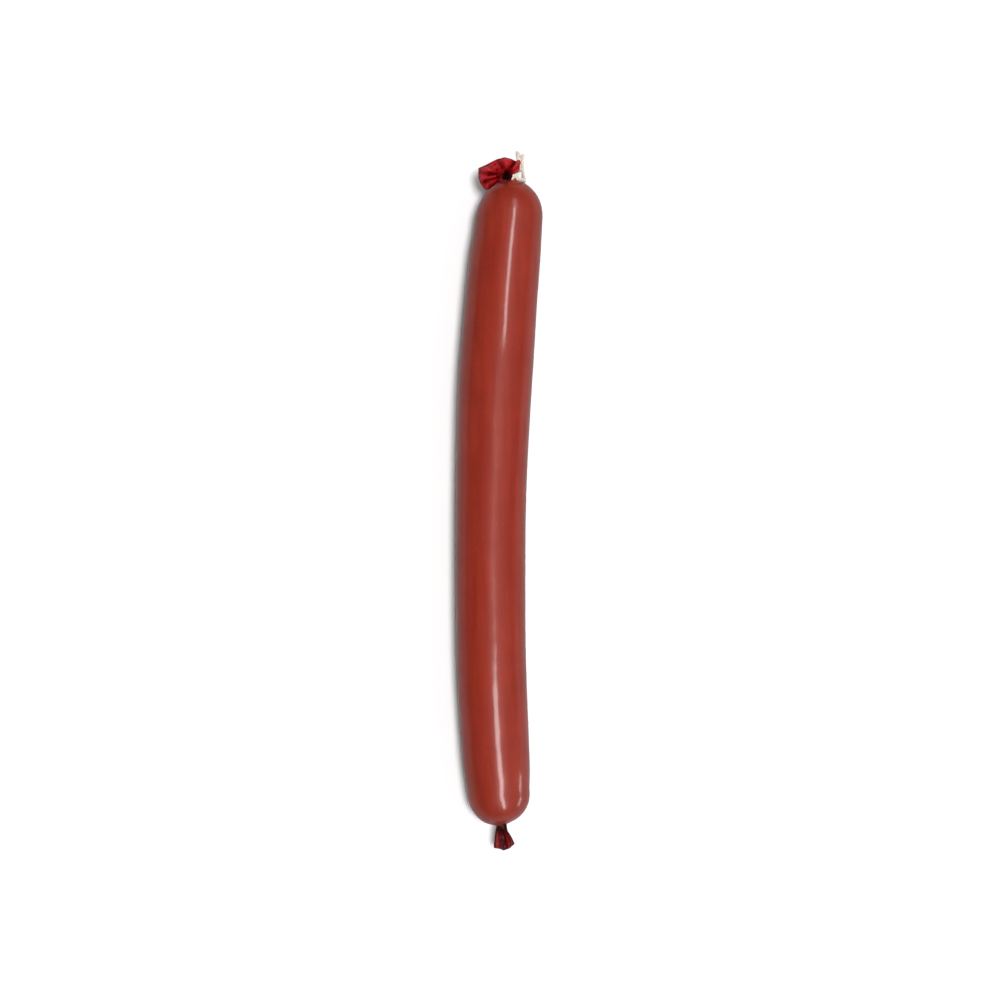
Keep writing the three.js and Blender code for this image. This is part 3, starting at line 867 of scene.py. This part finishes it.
def frayed_tip(name, tip, outward, seed, spread):
    """A brush of fibres from inside the cut end, spreading sideways as it goes."""
    random = np.random.default_rng(seed)
    count = 90
    across = random.normal(size=(count, 3)) * [1, 1, 0.6]
    across -= (across @ outward)[:, None] * outward
    roots = tip - outward * 0.8 + across * 0.28
    directions = outward + across * spread
    lengths = random.uniform(1.3, 2.9, count)
    return fibres(name, roots, directions, lengths, radius=0.085, droop=0.2, seed=seed + 1)


def fuzz(path, count, seed):
    """Short hairs at random places on the strand, pointing out and a little along it."""
    random = np.random.default_rng(seed)
    side, rise = frames_along(path)
    at = random.integers(4, len(path) - 4, count)
    angle = random.uniform(0, 2 * np.pi, count)[:, None]
    outward = np.cos(angle) * side[at] + np.sin(angle) * rise[at]
    along = (path[at + 1] - path[at]) / STRING_STEP
    roots = path[at] + outward * STRING_DIAMETER * 0.4
    directions = outward + along * random.uniform(-1.2, 1.2, count)[:, None]
    lengths = random.uniform(0.5, 1.3, count)
    return fibres("string_fuzz", roots, directions, lengths, radius=0.03, droop=0.0, seed=seed + 1)


def unit(vector):
    """The vector's direction, one long."""
    return vector / np.linalg.norm(vector)


loose = [
    frayed_tip("over_end_fray", route[0], unit(route[0] - route[12]), seed=41, spread=0.42),
    frayed_tip("under_end_fray", route[-1], unit(route[-1] - route[-12]), seed=43, spread=0.12),
    fuzz(route, count=420, seed=45),
]
print("fibre faces:", [len(piece.data.polygons) for piece in loose])

# %% [markdown]
# ## The thread at the lower neck
#
# A finer thread, coloured nearly black-red, binds the lower neck. It is a helix of three
# turns whose ends dive under, so nothing sticks out.

# %% Build the lower thread
THREAD_TURNS, THREAD_RISE = 3, 0.50  # rise is in mm for each turn


def thread_route():
    """A helix round the lower neck; at each end it drops a little towards the neck."""
    swept = np.linspace(0, THREAD_TURNS * 2 * np.pi, 260)
    t = swept / swept[-1]
    tuck = 0.25 * (ramp(0.04, 0, t) + ramp(0.96, 1, t))
    radius = LOWER_NECK_RADIUS + THREAD_DIAMETER / 2 - 0.02 - tuck
    return np.stack([
        LOWER_NECK_X + radius * np.cos(swept), THREAD_Y + THREAD_RISE * THREAD_TURNS * (t - 0.5),
        LOWER_NECK_HEIGHT + radius * np.sin(swept),
    ], axis=-1)


thread_path = rounded_path(thread_route(), 0.12) + shift
thread = twisted_strand("lower_thread", thread_path, THREAD_DIAMETER, pitch=2.6, sides=18)
print("thread faces:", len(thread.data.polygons))

# %% [markdown]
# ## Cotton
#
# Undyed cotton is a warm off-white and quite matt. The grooves between the plies hold shadow and a little
# grease, so they are darker and yellower. Sheen, the soft glow of fine fibres seen at a low angle, does
# what the fuzz does at a distance. The lower thread is the same cotton, coloured nearly black-red.

# %% Materials of the string and the thread
def cotton(name, crown, groove, stain, sheen):
    """Matt cotton: crown colour on the plies, groove colour between them, and patches of stain."""
    material, tree, place = new_material(name)
    plied = mixed(tree, mapped(tree, stored(tree, "groove"), 0.15, 0.6), groove, crown)
    patches = mapped(tree, noise(tree, place, 380.0, 3.0), 0.48, 0.72, to_high=0.5)
    # Yarn fibres are about 0.02 mm wide; they are drawn at 0.15 mm so that they show.
    bump = add_node(tree, "ShaderNodeBump", {
        "Height": noise(tree, place, 6500.0, 2.0), "Strength": 0.6, "Distance": 0.00008})
    finished(tree, {
        "Base Color": mixed(tree, patches, plied, stain), "Roughness": 0.9, "Specular IOR Level": 0.2,
        "Sheen Weight": sheen, "Sheen Roughness": 0.5, "Normal": bump.outputs[0]})
    return material


twine = cotton("cotton_twine", "#efe3d4", "#b39c83", "#dcbca8", 0.4)
string.data.materials.append(twine)
for piece in loose:
    store(piece, "groove", np.ones(1))
    piece.data.materials.append(twine)
thread.data.materials.append(cotton("dark_cotton_thread", "#2c0d0a", "#120302", "#200806", 0.02))

for piece in [string, *loose]:
    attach(piece, "root")
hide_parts("neck_string_hitch", "neck_string_over_end", "neck_string_under_end")
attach(thread, "root")
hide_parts("lower_neck_thread")
print("string dressed")

# %% [markdown]
# ## How long the film ends are
#
# The size that each film end has when it is laid flat is its girth by the mean length of its lines from the
# tie to the free edge. That length is measured on the finished surface, so it is the length really
# modelled.
# The girth is a guess: the filled casing is 125 mm round, and an end that dried empty was never stretched.


def film_length(grid):
    """Mean length in mm of a film's lines, each the sum of its steps from the tie to the free edge."""
    return float(np.linalg.norm(np.diff(grid, axis=0), axis=-1).sum(axis=0).mean())


print("film lengths:", round(film_length(frill_rows), 1), round(film_length(tuft_rows), 1), "mm")

# %% [markdown]
# ## Floor and light
#
# The floor is a plain white sheet, very wide. So that its light doesn't wash out the skin's edges, the
# Light Path node makes it white to the camera and mid-grey to every other ray.
#
# A broad sun a little to the right gives most of the light and a soft, narrow shadow on the left. A second,
# weaker and broader one lies lower on that side and fills the right flank. Both are left out of the mirror
# reflections. Those come from four panels: two strips overhead, which draw the streaks on the skin, a weak
# one that lets the upper streak fade out over the dome, and a low window at the right.

# %% Floor
def white_paper():
    """A matt floor, white to the camera and grey to the light that bounces off it."""
    material, tree, place = new_material("white_paper")
    paper = mixed(tree, noise(tree, place, 3.0, 2.0), "#f8f8f8", "#fafafa")
    seen = add_node(tree, "ShaderNodeLightPath").outputs["Is Camera Ray"]
    finished(tree, {
        "Base Color": mixed(tree, seen, "#b0b0b0", paper), "Roughness": 0.9, "Specular IOR Level": 0.0})
    return material


FLOOR_HALF = 20.0  # metres
floor_mesh = bpy.data.meshes.new("floor")
corners = [(x * FLOOR_HALF, y * FLOOR_HALF, 0) for x, y in ((-1, -1), (1, -1), (1, 1), (-1, 1))]
floor_mesh.from_pydata(corners, [], [(0, 1, 2, 3)])
floor_mesh.materials.append(white_paper())
floor = in_scene("floor", floor_mesh)
print("floor laid")

# %% Sky and sun
SKY_DIFFUSE, SKY_MIRRORED = 0.27, 0.07
world = bpy.data.worlds.new("studio")
bpy.context.scene.world = world
world.use_nodes = True
world.node_tree.nodes.clear()
seen = add_node(world.node_tree, "ShaderNodeLightPath")
strength = add_node(world.node_tree, "ShaderNodeMapRange", {
    "Value": seen.outputs["Is Glossy Ray"], "To Min": SKY_DIFFUSE, "To Max": SKY_MIRRORED})
sky = add_node(world.node_tree, "ShaderNodeBackground", {
    "Color": (1, 1, 1, 1), "Strength": strength.outputs[0]})
add_node(world.node_tree, "ShaderNodeOutputWorld", {"Surface": sky.outputs[0]})


def sunlight(name, power, width, lean):
    """A sun of power W/m2, width and lean in degrees; lean is to the right of straight up."""
    data = bpy.data.lights.new(name, "SUN")
    data.energy = power
    data.angle = math.radians(width)
    made = in_scene(name, data)
    made.rotation_euler = (0, math.radians(lean), 0)
    made.visible_glossy = False


sunlight("main_sun", power=2.66, width=13, lean=7.5)
sunlight("side_fill", power=0.62, width=40, lean=50)
print("sky and suns set")

# %% Strip lights and the low window
def panel(name, place, facing, across, along, spin, radiance):
    """A rectangular light at place, in metres, turned by spin about the way it faces, for gloss only."""
    data = bpy.data.lights.new(name, "AREA")
    data.shape = "RECTANGLE"
    data.size, data.size_y = across, along
    data.energy = radiance * math.pi * across * along
    made = in_scene(name, data)
    aimed = Vector(facing).to_track_quat("-Z", "Y") @ Quaternion((0, 0, 1), spin)
    made.rotation_euler = aimed.to_euler()
    made.location = place
    made.visible_diffuse = False
    made.visible_camera = False


DOWN = (0, 0, -1)
panel("upper_strip", (0.32, 0.38, 1.0), DOWN, 0.15, 0.42, 0, 18)
panel("upper_fade", (0.36, 0.90, 1.0), DOWN, 0.34, 0.56, 0, 4)
panel("lower_strip", (0.38, -0.95, 1.0), DOWN, 0.24, 1.65, math.radians(18), 17)
panel("low_window", (0.33, -0.293, 0.026), (-1.0, 0.35, 0.0), 0.157, 0.05, 0, 9)
print("strips hung")

# %% [markdown]
# ## Colours as they are
#
# The plain Standard view keeps a material's colours as they were picked, and the floor fully white.

# %% View
bpy.context.scene.view_settings.view_transform = "Standard"
